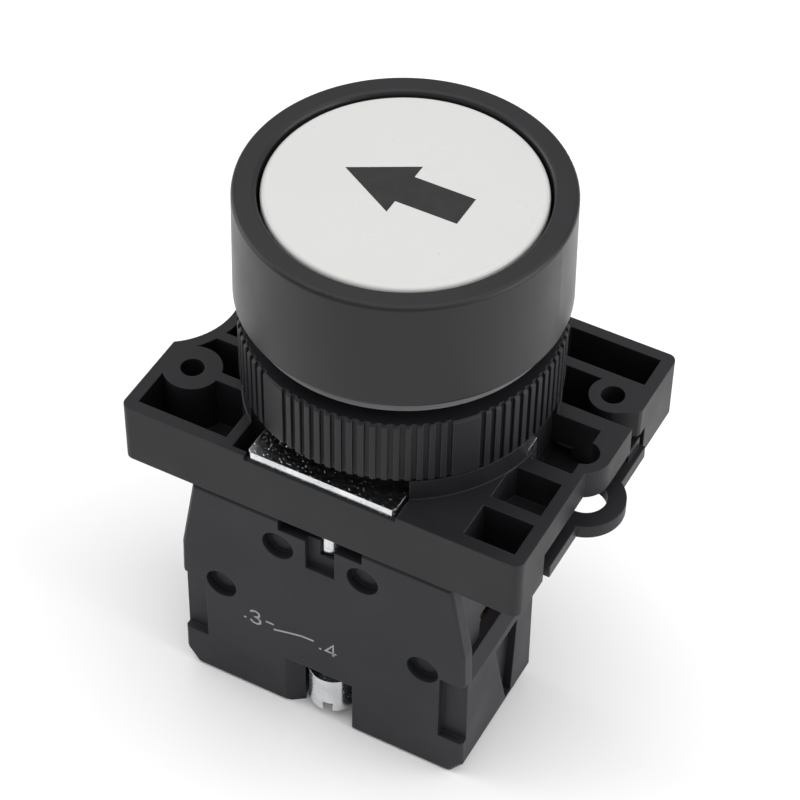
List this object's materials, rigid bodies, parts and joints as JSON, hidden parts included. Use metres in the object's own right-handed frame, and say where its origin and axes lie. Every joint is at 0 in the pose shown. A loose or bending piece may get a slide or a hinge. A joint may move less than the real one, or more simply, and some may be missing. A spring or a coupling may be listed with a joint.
{
  "type": "panel push button",
  "caption": "Round flush panel push button with a black bezel, white arrow cap, knurled clamp ring, mounting base and a contact block hung under the base.",
  "frame": {"origin": "on the button's axis at the panel's front face, the plane under the gasket", "axes": "+Z along the button's axis out of the panel, X along the base's long side with the locking slide's eyelet at +X, the contact block under the -Y half"},
  "size_m": [0.0431, 0.0298, 0.0557],
  "materials": {
    "bezel_black": "satin, fine moulded grain",
    "base_black": "matte, fine moulded grain",
    "block_black": "matte, fine moulded grain",
    "cap_white": "smooth, slightly glossy",
    "arrow_black": "smooth",
    "pusher_grey": "satin",
    "gasket_grey": "matte",
    "seal_black": "matte",
    "zinc_plate": "bright zinc plating",
    "spring_steel": "drawn wire",
    "plunger_green": "smooth",
    "contact_copper": "rolled copper alloy",
    "contact_silver": "silver alloy"
  },
  "bodies": {
    "housing": {"bezel_body": "bezel_black", "panel_gasket": "gasket_grey", "return_spring": "spring_steel", "mounting_base": "base_black", "nut_plates": "zinc_plate", "detent_spring": "spring_steel", "block_front_shell": "block_black", "block_rear_shell": "block_black", "shell_pins": "block_black", "terminal_left": "contact_copper", "terminal_right": "contact_copper", "fixed_tips": "contact_silver", "clamp_saddles": "zinc_plate", "plunger_spring": "spring_steel"},
    "button": {"button_cap": "cap_white", "arrow_inlay": "arrow_black", "pusher": "pusher_grey", "wiper_seal": "seal_black"},
    "plunger": {"contact_plunger": "plunger_green", "bridge_spring": "spring_steel"},
    "bridge": {"contact_bridge": "contact_copper", "bridge_tips": "contact_silver"},
    "lock": {"locking_slide": "base_black"},
    "clamp": {"clamp_ring": "base_black"},
    "block_screw": {"captive_screw": "zinc_plate"},
    "wire_screw_left": {"terminal_screw_left": "zinc_plate"},
    "wire_screw_right": {"terminal_screw_right": "zinc_plate"}
  },
  "joints": [
    {"name": "button_press", "type": "slide", "parent": "housing", "child": "button", "axis": [0, 0, -1], "range_m": [0, 0.004], "stiffness_N_per_m": 800, "springref_m": -0.002, "deforming": ["return_spring"]},
    {"name": "plunger_press", "type": "slide", "parent": "housing", "child": "plunger", "axis": [0, 0, -1], "range_m": [0, 0.004], "deforming": ["plunger_spring"]},
    {"name": "bridge_overtravel", "type": "slide", "parent": "plunger", "child": "bridge", "axis": [0, 0, 1], "range_m": [0, 0.0015], "deforming": ["bridge_spring"]},
    {"name": "lock_slide", "type": "slide", "parent": "housing", "child": "lock", "axis": [1, 0, 0], "range_m": [0, 0.002]},
    {"name": "clamp_ring_turn", "type": "hinge", "parent": "housing", "child": "clamp", "pos_m": [0, 0, -0.0047], "axis": [0, 0, 1], "continuous": true},
    {"name": "block_screw_turn", "type": "hinge", "parent": "housing", "child": "block_screw", "pos_m": [-0.00025, -0.0124, -0.03], "axis": [0, 0, 1], "continuous": true},
    {"name": "wire_screw_left_turn", "type": "hinge", "parent": "housing", "child": "wire_screw_left", "pos_m": [-0.01035, -0.0067, -0.03], "axis": [0, 0, 1], "continuous": true},
    {"name": "wire_screw_right_turn", "type": "hinge", "parent": "housing", "child": "wire_screw_right", "pos_m": [0.01035, -0.0067, -0.03], "axis": [0, 0, 1], "continuous": true}
  ],
  "couplings": [
    {"joint": "plunger_press", "follows": "button_press", "ratio": 1},
    {"joint": "bridge_overtravel", "follows": "button_press", "ratio": 0.375}
  ]
}
